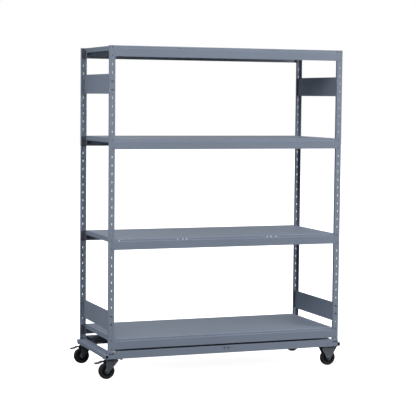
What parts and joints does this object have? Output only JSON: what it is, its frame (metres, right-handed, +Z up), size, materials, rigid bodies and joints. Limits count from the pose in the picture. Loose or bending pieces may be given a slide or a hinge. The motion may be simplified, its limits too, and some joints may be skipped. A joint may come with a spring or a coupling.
{
  "type": "book cart",
  "caption": "Tall mobile steel book cart: open pan shelves on slotted corner posts, end panels, wheeled base with swivel and fixed casters and brake pedals.",
  "frame": {"origin": "on the floor under the middle of the cart's overall box, brake pedals included", "axes": "+Z up; X along the shelves, with the swivel casters and pedals at -X; -Y is the front long side"},
  "size_m": [1.642, 0.641, 2.029],
  "materials": {
    "enamelled_steel": "satin baked enamel, medium blue-grey",
    "caster_steel": "dark grey plated pressed steel",
    "zinc_fasteners": "dull zinc plate",
    "black_spring_steel": "oiled black spring steel",
    "brake_pedal": "black coated pressed steel",
    "wheel_core": "dark grey moulded nylon",
    "tyre_rubber": "solid black rubber, matt"
  },
  "bodies": {
    "frame": {"base_bolts": "zinc_fasteners", "base_cross_member": "enamelled_steel", "base_front_beam": "enamelled_steel", "base_left_beam": "enamelled_steel", "base_nuts": "zinc_fasteners", "base_rear_beam": "enamelled_steel", "base_right_beam": "enamelled_steel", "bottom_shelf": "enamelled_steel", "caster_bolts": "zinc_fasteners", "caster_nuts": "zinc_fasteners", "frame_bolts": "zinc_fasteners", "frame_nuts": "zinc_fasteners", "front_left_ball_race": "caster_steel", "front_left_caster_plate": "caster_steel", "front_left_kingpin": "zinc_fasteners", "front_left_post": "enamelled_steel", "front_right_axle_bolt": "zinc_fasteners", "front_right_axle_nut": "zinc_fasteners", "front_right_axle_sleeve": "zinc_fasteners", "front_right_fork": "caster_steel", "front_right_post": "enamelled_steel", "left_lower_panel": "enamelled_steel", "left_upper_panel": "enamelled_steel", "lower_shelf": "enamelled_steel", "rear_left_ball_race": "caster_steel", "rear_left_caster_plate": "caster_steel", "rear_left_kingpin": "zinc_fasteners", "rear_left_post": "enamelled_steel", "rear_right_axle_bolt": "zinc_fasteners", "rear_right_axle_nut": "zinc_fasteners", "rear_right_axle_sleeve": "zinc_fasteners", "rear_right_fork": "caster_steel", "rear_right_post": "enamelled_steel", "right_lower_panel": "enamelled_steel", "right_upper_panel": "enamelled_steel", "shelf_clips": "black_spring_steel", "top_shelf": "enamelled_steel", "upper_shelf": "enamelled_steel"},
    "front_left_swivel": {"front_left_fork": "caster_steel", "front_left_axle_bolt": "zinc_fasteners", "front_left_axle_nut": "zinc_fasteners", "front_left_axle_sleeve": "zinc_fasteners", "front_left_pedal_pin": "zinc_fasteners"},
    "front_left_wheel": {"front_left_hub": "wheel_core", "front_left_tyre": "tyre_rubber"},
    "front_left_pedal": {"front_left_brake_pedal": "brake_pedal"},
    "rear_left_swivel": {"rear_left_fork": "caster_steel", "rear_left_axle_bolt": "zinc_fasteners", "rear_left_axle_nut": "zinc_fasteners", "rear_left_axle_sleeve": "zinc_fasteners", "rear_left_pedal_pin": "zinc_fasteners"},
    "rear_left_wheel": {"rear_left_hub": "wheel_core", "rear_left_tyre": "tyre_rubber"},
    "rear_left_pedal": {"rear_left_brake_pedal": "brake_pedal"},
    "front_right_wheel": {"front_right_hub": "wheel_core", "front_right_tyre": "tyre_rubber"},
    "rear_right_wheel": {"rear_right_hub": "wheel_core", "rear_right_tyre": "tyre_rubber"}
  },
  "joints": [
    {"name": "front_left_swivel_turn", "type": "hinge", "parent": "frame", "child": "front_left_swivel", "pos_m": [-0.706, -0.2745, 0.11], "axis": [0, 0, 1], "continuous": true},
    {"name": "front_left_wheel_spin", "type": "hinge", "parent": "front_left_swivel", "child": "front_left_wheel", "pos_m": [-0.746, -0.2745, 0.05], "axis": [0, 1, 0], "continuous": true},
    {"name": "front_left_brake_press", "type": "hinge", "parent": "front_left_swivel", "child": "front_left_pedal", "pos_m": [-0.749, -0.2745, 0.107], "axis": [0, -1, 0], "range_deg": [0, 12]},
    {"name": "rear_left_swivel_turn", "type": "hinge", "parent": "frame", "child": "rear_left_swivel", "pos_m": [-0.706, 0.2745, 0.11], "axis": [0, 0, 1], "continuous": true},
    {"name": "rear_left_wheel_spin", "type": "hinge", "parent": "rear_left_swivel", "child": "rear_left_wheel", "pos_m": [-0.746, 0.2745, 0.05], "axis": [0, 1, 0], "continuous": true},
    {"name": "rear_left_brake_press", "type": "hinge", "parent": "rear_left_swivel", "child": "rear_left_pedal", "pos_m": [-0.749, 0.2745, 0.107], "axis": [0, -1, 0], "range_deg": [0, 12]},
    {"name": "front_right_wheel_spin", "type": "hinge", "parent": "frame", "child": "front_right_wheel", "pos_m": [0.75, -0.2745, 0.05], "axis": [0, 1, 0], "continuous": true},
    {"name": "rear_right_wheel_spin", "type": "hinge", "parent": "frame", "child": "rear_right_wheel", "pos_m": [0.75, 0.2745, 0.05], "axis": [0, 1, 0], "continuous": true}
  ]
}
